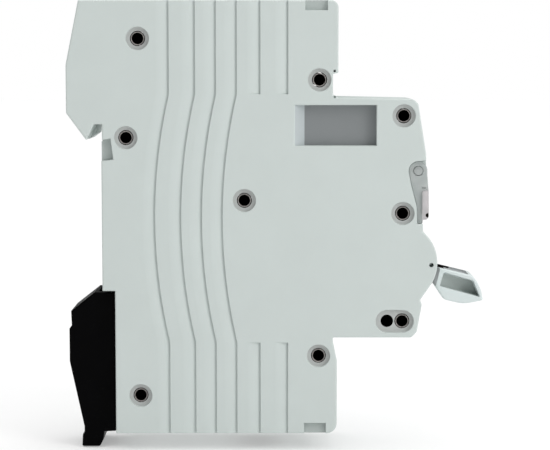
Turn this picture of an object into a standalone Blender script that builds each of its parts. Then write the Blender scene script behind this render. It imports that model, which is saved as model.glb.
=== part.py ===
"""Single-pole miniature circuit breaker for a 35 mm rail, as its separate pieces.

Run with: blender --background --python part.py
Frame: metres. +X to the breaker's right, -Y to the front (toggle side), +Z up.
The origin is the middle of the 35 mm rail's seat, on the face that rests on the rail.
All dimensions below are in millimetres and are turned into metres when a mesh is made.
"""

import math

import bmesh
import bpy
from mathutils import Matrix, Vector

MM = 0.001

# ------------------------------------------------------------------ driving dimensions (mm)
WIDTH = 17.7                     # one module
HALF = WIDTH / 2
WALL = 1.4                       # side walls of both shells
PART = -2.3                      # the plane where cover and base meet
PART_GAP = 0.1                   # each side of that plane
TOP = 40.9                       # half of the case height
NOSE = 22.5                      # half of the 45 mm nose
SHOULDER = -44.4                 # front of the terminal blocks
FIT = 0.2                        # gap round still pieces
RUN = 0.3                        # gap round moving pieces

PIVOT = (-55.5, -8.33)           # toggle axis (Y, Z)
BOSS_R = 7.69                    # round cheeks of the case beside the toggle
DRUM_R = 7.0
TOGGLE_PIN_R = 1.0
TOGGLE_ANGLE = 56.0              # off to on
LINK_D = (PIVOT[0] - 1.5, PIVOT[1] + 2.9)     # link's hole in the toggle
ARM_P = (-38.0, 1.2)                           # contact carrier axis
LINK_H = (ARM_P[0] - 1.6, ARM_P[1] - 6.9)      # link's hole in the carrier
TRIP_P = (-41.5, 8.5)                          # trip lever axis
COVER_P = (-59.5, 9.06)                        # label cover axis
COIL = (0.0, -30.5)                            # coil axis (X, Y)

RIVETS = [(-6.9, 33.8), (-4.6, 15.3), (-26.8, 3.5), (-40.9, 26.1), (-56.7, 19.4),
          (-56.6, 1.06), (-56.6, -19.4), (-40.8, -26.0), (-7.1, -33.6)]
RIVET_NAMES = ["rivet_top_rear", "rivet_rail_hook", "rivet_centre", "rivet_top_shoulder", "rivet_nose_top",
               "rivet_nose_middle", "rivet_nose_bottom", "rivet_bottom_shoulder", "rivet_bottom_rear"]
RIVET_R = 1.2
RIVET_BORE = 0.98
SPARE_HOLE = (-53.75, -19.4)
SPARE_R = 1.19
COUNTERBORE_R = 2.17
COUNTERBORE_D = 0.9

GROOVES = [(-12.7, 1.5, True), (-17.6, 1.5, True), (-21.5, 1.5, True), (-25.4, 1.5, True),
           (-29.8, 2.0, False), (-35.0, 1.7, False)]
GROOVE_DEPTH = 0.42
GROOVE_KINK = 23.35
GROOVE_SAG = 2.7

TERMINAL_Z = 34.0
CAGE_TRAVEL = 4.5


# ------------------------------------------------------------------ scene and materials
def clear_scene():
    for obj in list(bpy.data.objects):
        bpy.data.objects.remove(obj, do_unlink=True)


def material(name, rgb, roughness, metallic=0.0):
    mat = bpy.data.materials.new(name)
    mat.use_nodes = True
    shader = mat.node_tree.nodes["Principled BSDF"]
    shader.inputs["Base Color"].default_value = (*rgb, 1.0)
    shader.inputs["Roughness"].default_value = roughness
    shader.inputs["Metallic"].default_value = metallic
    mat.diffuse_color = (*rgb, 1.0)
    return mat


# ------------------------------------------------------------------ mesh helpers (mm)
def place(u, v, w, axis):
    if axis == "X":
        return Vector((w, u, v))
    if axis == "Y":
        return Vector((u, w, v))
    return Vector((u, v, w))


def prism(bm, outline, low, high, axis="X"):
    """A closed outline carried from low to high along an axis."""
    a = [bm.verts.new(place(u, v, low, axis)) for u, v in outline]
    b = [bm.verts.new(place(u, v, high, axis)) for u, v in outline]
    bm.faces.new(a)
    bm.faces.new(list(reversed(b)))
    n = len(outline)
    for i in range(n):
        j = (i + 1) % n
        bm.faces.new([a[i], b[i], b[j], a[j]])


def block(bm, x0, x1, y0, y1, z0, z1):
    prism(bm, [(y0, z0), (y1, z0), (y1, z1), (y0, z1)], x0, x1, "X")


def circle(centre, r, n=24, start=0.0):
    return [(centre[0] + r * math.cos(start + 2 * math.pi * i / n),
             centre[1] + r * math.sin(start + 2 * math.pi * i / n)) for i in range(n)]


def rod(bm, centre, r, low, high, axis="X", n=24):
    prism(bm, circle(centre, r, n), low, high, axis)


def rounded(points, steps=4):
    """Outline with its corners rounded: each point is (u, v) or (u, v, radius)."""
    out = []
    n = len(points)
    for i in range(n):
        p = Vector(points[i][:2])
        r = points[i][2] if len(points[i]) > 2 else 0.0
        if r <= 0:
            out.append(tuple(p))
            continue
        a = (Vector(points[i - 1][:2]) - p).normalized()
        b = (Vector(points[(i + 1) % n][:2]) - p).normalized()
        half = a.angle(b) / 2
        back = r / math.tan(half)
        middle = p + (a + b).normalized() * (r / math.sin(half))
        start = (p + a * back) - middle
        end = (p + b * back) - middle
        turn = start.angle_signed(end)
        for k in range(steps + 1):
            t = -turn * k / steps
            out.append((middle.x + start.x * math.cos(t) - start.y * math.sin(t),
                        middle.y + start.x * math.sin(t) + start.y * math.cos(t)))
    return out


def stadium(c0, c1, r, n=12):
    """Outline round two equal circles, c0 to c1."""
    ang = math.atan2(c1[1] - c0[1], c1[0] - c0[0])
    out = []
    for centre, first in ((c1, ang - math.pi / 2), (c0, ang + math.pi / 2)):
        for k in range(n + 1):
            t = first + math.pi * k / n
            out.append((centre[0] + r * math.cos(t), centre[1] + r * math.sin(t)))
    return out


def turned(bm, profile, centre, axis="X", n=24, closed=False):
    """Turns (radius, along) points round an axis. An open profile starts and ends on the axis."""
    rings = []
    for r, w in profile:
        if r <= 1e-9:
            rings.append([bm.verts.new(place(centre[0], centre[1], w, axis))])
        else:
            rings.append([bm.verts.new(place(centre[0] + r * math.cos(2 * math.pi * i / n),
                                             centre[1] + r * math.sin(2 * math.pi * i / n), w, axis))
                          for i in range(n)])
    pairs = list(zip(rings, rings[1:]))
    if closed:
        pairs.append((rings[-1], rings[0]))
    for a, b in pairs:
        for i in range(n):
            j = (i + 1) % n
            if len(a) == 1 and len(b) == 1:
                continue
            if len(a) == 1:
                bm.faces.new([a[0], b[j], b[i]])
            elif len(b) == 1:
                bm.faces.new([a[i], a[j], b[0]])
            else:
                bm.faces.new([a[i], a[j], b[j], b[i]])


def wire(bm, path, r, sides=6):
    """A round wire with flat ends along a path of points."""
    points = [Vector(p) for p in path]
    tangents = []
    for i in range(len(points)):
        a = points[max(i - 1, 0)]
        b = points[min(i + 1, len(points) - 1)]
        tangents.append((b - a).normalized())
    normal = tangents[0].orthogonal().normalized()
    rings = []
    for i, p in enumerate(points):
        if i:
            turn = tangents[i - 1].rotation_difference(tangents[i])
            normal = (turn @ normal).normalized()
        side = tangents[i].cross(normal)
        rings.append([bm.verts.new(p + r * (math.cos(2 * math.pi * k / sides) * normal
                                            + math.sin(2 * math.pi * k / sides) * side))
                      for k in range(sides)])
    for a, b in zip(rings, rings[1:]):
        for k in range(sides):
            j = (k + 1) % sides
            bm.faces.new([a[k], a[j], b[j], b[k]])
    bm.faces.new(list(reversed(rings[0])))
    bm.faces.new(rings[-1])


def smooth_path(points, steps=5):
    """Points on a smooth curve through the given ones."""
    pts = [Vector(p) for p in points]
    pts = [pts[0] * 2 - pts[1]] + pts + [pts[-1] * 2 - pts[-2]]
    out = []
    for i in range(1, len(pts) - 2):
        p0, p1, p2, p3 = pts[i - 1], pts[i], pts[i + 1], pts[i + 2]
        for k in range(steps):
            t = k / steps
            out.append(0.5 * ((2 * p1) + (p2 - p0) * t + (2 * p0 - 5 * p1 + 4 * p2 - p3) * t * t
                              + (3 * p1 - p0 - 3 * p2 + p3) * t ** 3))
    out.append(pts[-2])
    return out


def helix(centre, r, low, high, turns, per_turn, start=0.0):
    """Points of a coil standing along Z round (x, y)."""
    n = int(turns * per_turn)
    return [Vector((centre[0] + r * math.sin(start + 2 * math.pi * k / per_turn),
                    centre[1] - r * math.cos(start + 2 * math.pi * k / per_turn),
                    low + (high - low) * k / n)) for k in range(n + 1)]


def make(name, build, mat, at=(0.0, 0.0, 0.0), smooth=False):
    """A named object from a function that fills a bmesh in mm; at is its origin in mm."""
    bm = bmesh.new()
    build(bm)
    bmesh.ops.recalc_face_normals(bm, faces=bm.faces)
    bmesh.ops.translate(bm, verts=bm.verts, vec=-Vector(at))
    bmesh.ops.scale(bm, verts=bm.verts, vec=(MM, MM, MM))
    mesh = bpy.data.meshes.new(name)
    bm.to_mesh(mesh)
    bm.free()
    obj = bpy.data.objects.new(name, mesh)
    bpy.context.scene.collection.objects.link(obj)
    obj.location = Vector(at) * MM
    if mat:
        mesh.materials.append(mat)
    if smooth:
        mesh.shade_smooth()
        mesh.set_sharp_from_angle(angle=math.radians(35))
    return obj


def helper(name, build):
    obj = make(name, build, None)
    obj.hide_render = True
    obj.display_type = "WIRE"
    return obj


def boolean(obj, other, operation="DIFFERENCE"):
    mod = obj.modifiers.new(operation.lower() + "_" + other.name, "BOOLEAN")
    mod.object = other
    mod.operation = operation
    mod.solver = "EXACT"


# ------------------------------------------------------------------ case outlines (Y, Z)
def boss_arc(first, last, r, n):
    return [(PIVOT[0] + r * math.cos(math.radians(first + (last - first) * k / n)),
             PIVOT[1] + r * math.sin(math.radians(first + (last - first) * k / n))) for k in range(n + 1)]


def case_outline():
    low = [(4.09, TOP), (6.52, 28.9), (6.52, 19.9), (2.77, 14.8), (1.32, 17.8), (-0.15, 17.8),
           (-0.15, 14.6), (0.0, 14.6), (0.0, -13.64), (-2.37, -13.64), (-2.37, -TOP)]
    low += rounded([(-2.37, -TOP), (SHOULDER + 0.1, -TOP, 1.9), (SHOULDER + 0.1, -26.9)], 4)[1:]
    low += [(-43.6, -23.7), (-43.5, -NOSE), (-58.4, -NOSE), (-59.4, -21.4), (-60.3, -16.3), (-60.0, -15.3)]
    low += boss_arc(211, 130, BOSS_R, 12)
    low += [(-60.42, -0.9), (-59.9, -0.9), (-59.9, 11.05), (-60.65, 11.05), (-60.9, 12.3), (-59.4, 21.6),
            (-58.5, NOSE), (SHOULDER, NOSE + 0.3), (-43.4, 23.4), (-43.4, 27.2), (SHOULDER, 27.4)]
    low += rounded([(SHOULDER, 27.4), (SHOULDER, TOP, 1.4), (4.09, TOP)], 4)[1:-1]
    return low


CAVITY = [(-1.4, 39.5), (-43.0, 39.5), (-43.0, 28.8), (-42.0, 28.0), (-42.0, 21.0), (-57.9, 21.0), (-58.9, 13.0),
          (-56.2, 12.4), (-56.2, -1.5), (-53.2, -2.5), (-53.2, -14.0), (-58.2, -15.5), (-58.2, -20.4),
          (-57.4, -21.2), (-42.9, -21.2), (-42.9, -39.5), (-3.8, -39.5), (-3.8, -12.24), (-1.4, -12.24)]

def around(centre, r, first, last, n):
    return [(centre[0] + r * math.cos(math.radians(first + (last - first) * k / n)),
             centre[1] + r * math.sin(math.radians(first + (last - first) * k / n))) for k in range(n + 1)]


COVER_RECESS = ([(-62.5, 11.05), (-60.4, 11.05)] + around(COVER_P, 1.85, 100, -12, 7)
                + [(-58.15, 6.4), (-59.2, 2.3), (-59.3, -0.9), (-62.5, -0.9)])


def cover_cheek():
    """The label cover's side cheek: round about its hinge, a little inside its recess in the case."""
    return ([(-61.5, 7.3), (-61.12, 9.2)] + around(COVER_P, 1.63, 172, -12, 9)
            + [(-58.42, 6.4), (-59.42, 2.3), (-59.5, 0.2), (-60.3, -0.15), (-61.1, -0.1), (-61.5, 0.4)])


def grooves(bm, side, low_end, high_end):
    """Sawtooth flutes on one side face: a slope that ends at a small wall, bulging to the rear between the kinks."""
    rear = GROOVE_KINK
    radius = (rear ** 2 + GROOVE_SAG ** 2) / (2 * GROOVE_SAG)

    def bulge(z):
        if abs(z) >= rear:
            return 0.0
        return math.sqrt(radius ** 2 - z ** 2) - (radius - GROOVE_SAG)

    out = 0.5
    for wall_y, width, full in GROOVES:
        reach = width * (1 + out / GROOVE_DEPTH)
        if full:
            spans = [[low_end, -rear] + [-rear + 2 * rear * k / 10 for k in range(1, 10)] + [rear, high_end]]
        else:
            spans = [[low_end, -rear - 0.1], [rear + 0.1, high_end]]
        for levels in spans:
            rings = []
            for z in levels:
                y = wall_y + bulge(z)
                rings.append([bm.verts.new((side * (HALF - GROOVE_DEPTH), y, z)),
                              bm.verts.new((side * (HALF + out), y, z)),
                              bm.verts.new((side * (HALF + out), y + reach, z))])
            for a, b in zip(rings, rings[1:]):
                for i in range(3):
                    j = (i + 1) % 3
                    bm.faces.new([a[i], a[j], b[j], b[i]])
            bm.faces.new(rings[0])
            bm.faces.new(list(reversed(rings[-1])))


# ------------------------------------------------------------------ the two shells
def shell(name, side, mat):
    """One half of the case. side -1 is the cover on the left, +1 the deeper base on the right."""
    outer = side * HALF
    inner = PART + side * PART_GAP
    past = PART - side * 1.0
    low, high = min(outer, inner), max(outer, inner)
    obj = make(name, lambda bm: prism(bm, case_outline(), low, high), mat)

    def span(a, b):
        return min(a, b), max(a, b)

    boolean(obj, helper(name + "_cavity", lambda bm: prism(bm, CAVITY, *span(side * (HALF - WALL), past))))

    # hollow bosses for the rivets, and the blocks behind the side window
    def bosses(bm):
        for i, c in enumerate(RIVETS):
            if i == 6:
                prism(bm, stadium(SPARE_HOLE, c, 2.3, 6), *span(side * (HALF - 1.0), inner))
            elif i == 5:
                rod(bm, c, 2.4, *span(side * (HALF - 1.0), side * 4.45), n=14)
            else:
                rod(bm, c, 2.4, *span(side * (HALF - 1.0), inner), n=14)
        rod(bm, ARM_P, 2.0, *span(side * (HALF - 1.0), side * 5.5), n=12)
        rod(bm, TRIP_P, 1.8, *span(side * (HALF - 1.0), side * 5.5), n=12)

    boolean(obj, helper(name + "_bosses", bosses), "UNION")

    def pads(bm):
        block(bm, *span(side * (HALF - 1.0), side * 4.95), -52.9, -37.2, 12.5, 21.5)
        if side > 0:
            block(bm, -1.9, 1.9, -6.8, -3.2, -32.4, -30.8)

    boolean(obj, helper(name + "_pads", pads), "UNION")

    # toggle slot between the round cheeks, with its clearance inside
    def toggle_room(bm):
        rod(bm, PIVOT, DRUM_R + RUN, -4.35, 4.35, n=36)

    boolean(obj, helper(name + "_toggle_room", toggle_room))

    def toggle_slot(bm):
        prism(bm, [(-66.0, -1.7), (-54.0, -1.7), (-54.0, -13.9), (-66.0, -14.9)], -4.35, 4.35)

    boolean(obj, helper(name + "_toggle_slot", toggle_slot))

    def round_cuts(bm):
        for i, c in enumerate(RIVETS):
            lip = side * (HALF - COUNTERBORE_D)
            if i == 6:
                prism(bm, stadium(SPARE_HOLE, c, COUNTERBORE_R, 9), *span(lip, side * (HALF + 1)))
            else:
                rod(bm, c, COUNTERBORE_R, *span(lip, side * (HALF + 1)), n=18)
    boolean(obj, helper(name + "_counterbores", round_cuts))

    def bores(bm):
        for c in RIVETS:
            rod(bm, c, RIVET_R + FIT, *span(side * (HALF + 1), past), n=12)
        rod(bm, SPARE_HOLE, SPARE_R, *span(side * (HALF + 1), past), n=12)
        rod(bm, ARM_P, 1.25, *span(side * 6.8, past), n=12)
        rod(bm, TRIP_P, 1.05, *span(side * 6.8, past), n=12)
        rod(bm, PIVOT, 1.25, *span(side * 6.2, side * 4.0), n=12)
        rod(bm, (-62.1, -8.9), 0.42, *span(side * (HALF + 1), side * 4.0), n=8)
        for c in ((-43.7, 27.75), (-43.75, 22.95)):
            rod(bm, c, 0.24, *span(side * (HALF + 1), side * (HALF - 1.2)), n=6)

    boolean(obj, helper(name + "_bores", bores))

    # side relief: flutes, tool notches, window, label cover recess, rail shelf
    boolean(obj, helper(name + "_flutes", lambda bm: grooves(bm, side, -TOP - 1.0, TOP + 1.0)))

    def side_cuts(bm):
        edge = side * (HALF + 1)
        for y0, y1, z0, z1 in ((-42.4, -38.2, TOP - 1.87, TOP + 1), (-42.2, -38.1, -TOP - 1, -TOP + 2.03)):
            block(bm, *span(edge, side * (HALF - 0.9)), y0, y1, z0, z1)
        prism(bm, COVER_RECESS, *span(edge, side * 7.4))
        prism(bm, [(1.0, 14.6), (-1.77, 15.0), (-2.26, 11.2), (1.0, 10.8)], *span(edge, side * (HALF - 0.8)))
        # the window's floor, with a ramp at its rear end
        prism(bm, [(HALF + 1, -36.2), (HALF, -36.2), (6.15, -38.1), (6.15, -51.6), (HALF + 1, -51.6)]
              if side > 0 else
              [(-HALF - 1, -36.2), (-HALF, -36.2), (-6.15, -38.1), (-6.15, -51.6), (-HALF - 1, -51.6)],
              13.8, 21.4, "Z")

    boolean(obj, helper(name + "_side_cuts", side_cuts))

    # hinge stubs for the label cover
    boolean(obj, helper(name + "_stubs", lambda bm: rod(bm, COVER_P, 0.72, *span(side * 7.0, side * 8.6), n=12)),
            "UNION")

    # wire entries and screwdriver holes at both ends, and the clip's guide slot
    def end_cuts(bm):
        for s in (1, -1):
            prism(bm, rounded([(-4.6, -32.3, 1.0), (4.6, -32.3, 1.0), (4.6, -26.3, 1.0), (-4.6, -26.3, 1.0)], 3),
                  *span(s * 38.8, s * 42.0), "Z")
            rod(bm, (0.0, s * TERMINAL_Z), 3.3, -46.0, -42.5, "Y", 24)
        if side > 0:
            block(bm, -1.9, 1.9, -5.0, -1.0, -26.2, -17.6)

    boolean(obj, helper(name + "_end_cuts", end_cuts))
    return obj


# ------------------------------------------------------------------ pieces
def build():
    clear_scene()
    body = material("body_plastic", (0.60, 0.65, 0.63), 0.45)
    lever = material("toggle_plastic", (0.66, 0.71, 0.70), 0.42)
    black = material("black_plastic", (0.012, 0.012, 0.013), 0.45)
    brown = material("carrier_plastic", (0.05, 0.04, 0.035), 0.5)
    clear = material("clear_plastic", (0.62, 0.66, 0.65), 0.2)
    grey = material("window_plastic", (0.24, 0.26, 0.27), 0.55)
    card = material("label_card", (0.85, 0.85, 0.82), 0.8)
    fibre = material("fibre_board", (0.55, 0.42, 0.28), 0.8)
    rivet_steel = material("rivet_steel", (0.55, 0.50, 0.47), 0.35, 1.0)
    steel = material("zinc_steel", (0.62, 0.61, 0.58), 0.4, 1.0)
    spring_steel = material("spring_steel", (0.5, 0.5, 0.5), 0.3, 1.0)
    copper = material("copper", (0.75, 0.38, 0.22), 0.35, 1.0)
    silver = material("silver_contact", (0.8, 0.79, 0.76), 0.3, 1.0)
    bimetal = material("bimetal", (0.6, 0.58, 0.54), 0.4, 1.0)

    shell("left_cover", -1, body)
    shell("base_shell", 1, body)

    # tubular rivets: a hollow shank with a rolled lip at both ends
    def rivet(bm, c):
        end = HALF - COUNTERBORE_D
        profile = [(RIVET_BORE, -end - 0.26), (1.2, -end - 0.40), (1.48, -end - 0.20), (RIVET_R, -end - 0.05),
                   (RIVET_R, end + 0.05), (1.48, end + 0.20), (1.2, end + 0.40), (RIVET_BORE, end + 0.26)]
        turned(bm, profile, c, "X", 12, closed=True)

    for name, c in zip(RIVET_NAMES, RIVETS):
        make(name, lambda bm, c=c: rivet(bm, c), rivet_steel, at=(0, *c), smooth=True)

    # ---- side window blanks, one in each window's floor
    for name, side in (("window_blank_left", -1), ("window_blank_right", 1)):
        lo, hi = sorted((side * 6.35, side * 7.0))
        make(name, lambda bm, lo=lo, hi=hi: block(bm, lo, hi, -51.4, -38.6, 14.0, 21.2), grey)

    # ---- toggle: drum, hollow-sided handle, slot for the link
    at = (0.0, *PIVOT)
    toggle = make("toggle", lambda bm: rod(bm, PIVOT, DRUM_R, -4.0, 4.0, n=48), lever, at=at, smooth=True)
    handle = [(-58.5, -9.0), (-62.3, -9.6), (-64.58, -10.37), (-70.10, -11.81), (-71.08, -12.92), (-71.93, -14.39),
              (-72.42, -15.86), (-72.18, -16.09), (-68.71, -16.82), (-64.87, -15.90), (-63.62, -13.98),
              (-62.7, -12.6), (-58.0, -13.5)]
    boolean(toggle, helper("toggle_handle", lambda bm: prism(bm, handle, -3.85, 3.85)), "UNION")

    def toggle_cuts(bm):
        rod(bm, PIVOT, 1.15, -6, 6, n=20)
        rod(bm, (-62.1, -8.9), 0.45, -6, 6, n=10)
        recess = [(-65.07, -11.15), (-70.15, -12.55), (-71.6, -15.5), (-64.45, -13.45)]
        prism(bm, recess, -5, -2.1)
        prism(bm, recess, 2.1, 5)

    boolean(toggle, helper("toggle_cuts", toggle_cuts))

    def toggle_slot(bm):
        d = LINK_D
        prism(bm, [(d[0] - 1.15, d[1] - 0.95), (-46, d[1] - 0.95), (-46, 1), (d[0] - 1.15, 1)], -1.1, 1.1)

    boolean(toggle, helper("toggle_link_slot", toggle_slot))

    def toggle_recess(bm):
        rod(bm, PIVOT, 2.3, 1.8, 5.0, n=24)
        rod(bm, LINK_D, 0.8, -3.4, 1.6, n=16)

    boolean(toggle, helper("toggle_spring_recess", toggle_recess))

    def finger_groove(bm):
        prism(bm, [(-63.3, -6.0), (-63.3, -12.4), (-65.8, -13.0), (-65.8, -6.0)], -1.6, 1.6)

    boolean(toggle, helper("toggle_top_pocket", finger_groove))

    make("toggle_pin", lambda bm: rod(bm, PIVOT, TOGGLE_PIN_R, -6.0, 6.0, n=16), steel, at=at, smooth=True)

    def torsion(bm):
        turns, per = 2.6, 10
        n = int(turns * per)
        pts = [Vector((2.2 + 1.45 * k / n, PIVOT[0] + 1.65 * math.cos(2 * math.pi * k / per),
                       PIVOT[1] + 1.65 * math.sin(2 * math.pi * k / per))) for k in range(n + 1)]
        wire(bm, pts, 0.22, 6)

    make("toggle_spring", torsion, spring_steel, at=at, smooth=True)

    # ---- link between toggle and contact carrier
    def link(bm):
        prism(bm, stadium(LINK_D, LINK_H, 0.7, 6), -0.8, 0.8)

    bar = make("toggle_link", link, steel, at=(0.0, *LINK_D))
    boolean(bar, helper("link_stub_d", lambda bm: rod(bm, LINK_D, 0.6, -3.1, 1.3, n=12)), "UNION")
    boolean(bar, helper("link_stub_h", lambda bm: rod(bm, LINK_H, 0.6, -2.4, 2.4, n=12)), "UNION")

    # ---- contact carrier, arm and tip, drawn open
    def rel(points, o=ARM_P):
        return [(o[0] + a, o[1] + b) for a, b in points]

    at = (0.0, *ARM_P)
    carrier = make("contact_carrier", lambda bm: rod(bm, ARM_P, 2.6, -2.6, 2.6, n=28), brown, at=at, smooth=True)
    boolean(carrier, helper("carrier_lobe", lambda bm: prism(bm, stadium(ARM_P, LINK_H, 1.6, 8), -2.55, 2.55)), "UNION")

    def carrier_cuts(bm):
        rod(bm, ARM_P, 1.15, -6, 6, n=20)
        prism(bm, stadium((LINK_H[0], LINK_H[1] - 0.1), (LINK_H[0] + 0.05, LINK_H[1] + 0.6), 0.85, 6), -6, 6)

    boolean(carrier, helper("carrier_cuts", carrier_cuts))
    boolean(carrier, helper("carrier_link_slot", lambda bm: block(bm, -1.1, 1.1, LINK_H[0] - 6, LINK_H[0] + 1.15,
                                                                  LINK_H[1] - 3, LINK_H[1] + 2.6)))
    arm = [(1.2, -3.0), (3.0, -3.0), (3.0, -6.0), (1.6, -9.0), (-1.6, -15.6), (-4.2, -14.5), (-2.2, -11.2),
           (0.6, -8.9), (0.6, -6.0)]
    make("moving_contact_arm", lambda bm: prism(bm, rel(arm), -1.6, 1.6), copper, at=at)
    n = Vector((0.9, -0.436))
    t = Vector((-0.436, -0.9))
    c = Vector(rel([(0.0, -12.3)])[0])
    tip = [c + n * 0.2 - t * 1.8, c + n * 1.15 - t * 1.6, c + n * 1.15 + t * 1.6, c + n * 0.2 + t * 1.8]
    make("moving_contact_tip", lambda bm: prism(bm, [tuple(p) for p in tip], -1.5, 1.5), silver, at=at)
    make("carrier_pin", lambda bm: rod(bm, ARM_P, 1.0, -6.5, 6.5, n=16), steel, at=at, smooth=True)

    # ---- latch beside the carrier
    latch = make("latch", lambda bm: rod(bm, ARM_P, 2.2, -5.2, -3.7, n=20), steel, at=at, smooth=True)
    boolean(latch, helper("latch_arm", lambda bm: prism(bm, rel([(-1.6, -0.5), (-5.6, 2.6), (-6.6, 2.0), (-6.4, 1.0),
                                                                 (-5.2, 0.9), (-1.4, -1.7)]), -5.15, -3.75)), "UNION")
    boolean(latch, helper("latch_hole", lambda bm: rod(bm, ARM_P, 1.15, -6, -3, n=16)))

    # ---- trip lever: short arm under the striker, long arm beside the bimetal
    at = (0.0, *TRIP_P)
    y, z = TRIP_P
    lever_plate = [(y - 1.9, z), (y - 1.2, z + 1.6), (y + 1.2, z + 1.6), (y + 2.2, z - 0.9), (-29.6, 6.1), (-29.6, 5.0),
                   (-37.0, 5.0), (-39.3, 3.6), (-39.9, -6.0), (-36.2, -18.0), (-36.2, -20.0), (-37.6, -20.0),
                   (-41.4, -6.5), (-42.9, 3.0)]
    trip = make("trip_lever", lambda bm: prism(bm, lever_plate, 2.9, 4.4), brown, at=at)
    boolean(trip, helper("trip_feet", lambda bm: (block(bm, -1.0, 3.4, -31.6, -29.65, 5.05, 6.05),
                                                  block(bm, -1.0, 3.4, -37.2, -36.4, -19.9, -18.1))), "UNION")
    boolean(trip, helper("trip_hole", lambda bm: rod(bm, TRIP_P, 1.0, 2, 6, n=16)))
    make("trip_lever_pin", lambda bm: rod(bm, TRIP_P, 0.8, -6.5, 6.5, n=12), steel, at=at, smooth=True)

    # ---- magnetic trip: bobbin, winding, yoke, core, plunger and its spring
    cx, cy = COIL
    make("coil_bobbin", lambda bm: turned(bm, [(2.05, 8.6), (5.2, 8.6), (5.2, 9.4), (2.8, 9.4), (2.8, 22.8), (5.2, 22.8),
                                               (5.2, 23.6), (2.05, 23.6)], (cx, cy), "Z", 24, closed=True),
         black, at=(cx, cy, 16.0), smooth=True)

    def winding(bm):
        body_pts = helix((cx, cy), 3.7, 10.5, 21.7, 7.25, 12, start=math.radians(-60))
        first, last = body_pts[0], body_pts[-1]
        out0 = Vector((first.x * 1.62, cy + (first.y - cy) * 1.62, first.z - 0.2))
        out1 = Vector((last.x * 1.6, cy + (last.y - cy) * 1.6, last.z + 0.2))
        start = smooth_path([(-3.4, -30.6, -0.2), (-4.6, -32.6, 1.6), (out0.x, out0.y, 5.0), (out0.x, out0.y, 8.6), out0], 3)
        end = smooth_path([out1, (out1.x, out1.y, 24.2), (out1.x, out1.y, 26.4)], 3)
        wire(bm, start + body_pts + end, 0.6, 6)

    make("coil_winding", winding, copper, smooth=True)
    yoke = make("magnet_yoke", lambda bm: prism(bm, [(-34.4, 7.1), (-23.4, 7.1), (-23.4, 25.2), (-34.4, 25.2),
                                                     (-34.4, 24.0), (-24.6, 24.0), (-24.6, 8.3), (-34.4, 8.3)],
                                                -4.0, 4.0), steel)
    boolean(yoke, helper("yoke_holes", lambda bm: (rod(bm, (cx, cy), 2.1, 23.0, 26.0, "Z", 20),
                                                   rod(bm, (cx, cy), 0.95, 6.0, 8.6, "Z", 16))))
    make("fixed_core", lambda bm: turned(bm, [(0.85, 8.7), (1.8, 8.7), (1.8, 12.4), (0.85, 12.4)], (cx, cy), "Z", 20,
                                         closed=True), steel, smooth=True)
    make("plunger", lambda bm: turned(bm, [(0, 6.6), (0.6, 6.6), (0.6, 15.4), (1.8, 15.4), (1.8, 24.8), (0, 24.8)],
                                      (cx, cy), "Z", 20), steel, at=(cx, cy, 15.0), smooth=True)
    make("plunger_spring", lambda bm: wire(bm, helix((cx, cy), 1.25, 12.85, 14.95, 3.5, 10), 0.2, 5), spring_steel,
         smooth=True)

    # ---- current path: fixed contact, braid, bimetal with its calibration screw
    make("fixed_contact_plate", lambda bm: block(bm, -4.0, 2.0, -30.1, -29.1, -14.6, -1.2), copper)
    make("fixed_contact_tip", lambda bm: block(bm, -1.5, 1.5, -31.3, -30.3, -11.8, -8.2), silver)
    make("flexible_braid", lambda bm: wire(bm, smooth_path([(-1.8, -35.5, -18.6), (-3.0, -37.4, -19.6),
                                                            (-3.6, -40.6, -17.0), (-3.5, -41.0, -12.5),
                                                            (-2.6, -38.8, -9.8)], 4), 0.65, 6),
         copper, smooth=True)
    make("bimetal_strip", lambda bm: block(bm, -2.2, 2.2, -34.6, -33.8, -30.4, -17.5), bimetal)
    make("calibration_screw", lambda bm: turned(bm, [(0, -33.6), (0.75, -33.6), (0.75, -31.6), (1.4, -31.6), (1.4, -30.8),
                                                     (0, -30.8)], (0.0, -24.0), "Y", 16), steel,
         at=(0.0, -31.6, -24.0), smooth=True)

    # ---- arc runners and chute
    make("upper_arc_runner", lambda bm: prism(bm, [(-31.0, -17.4), (-30.2, -17.4), (-29.4, -15.9), (-11.2, -15.9),
                                                   (-11.2, -15.1), (-30.0, -15.1)], -2.5, 2.5), copper)
    make("lower_arc_runner", lambda bm: block(bm, -2.5, 2.5, -24.4, -11.2, -32.2, -31.4), steel)
    for i in range(6):
        z0 = -17.9 - 2.2 * i
        make(f"arc_plate_{i + 1}", lambda bm, z0=z0: prism(bm, [(-5.4, -24.5), (-2.4, -24.5), (-0.6, -18.0), (0.6, -18.0),
                                                                (2.4, -24.5), (5.4, -24.5), (5.4, -11.3), (-5.4, -11.3)],
                                                           z0 - 1.0, z0, "Z"), steel)
    for name, side in (("arc_chute_left_cheek", -1), ("arc_chute_right_cheek", 1)):
        lo, hi = sorted((side * 5.65, side * 6.6))
        make(name, lambda bm, lo=lo, hi=hi: block(bm, lo, hi, -24.6, -10.9, -30.9, -16.6), fibre)

    # ---- terminals at both ends
    for end, s in (("top", 1), ("bottom", -1)):
        tz = s * TERMINAL_Z

        def zz(a, b, s=s):
            return (s * a, s * b) if s > 0 else (s * b, s * a)

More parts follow.
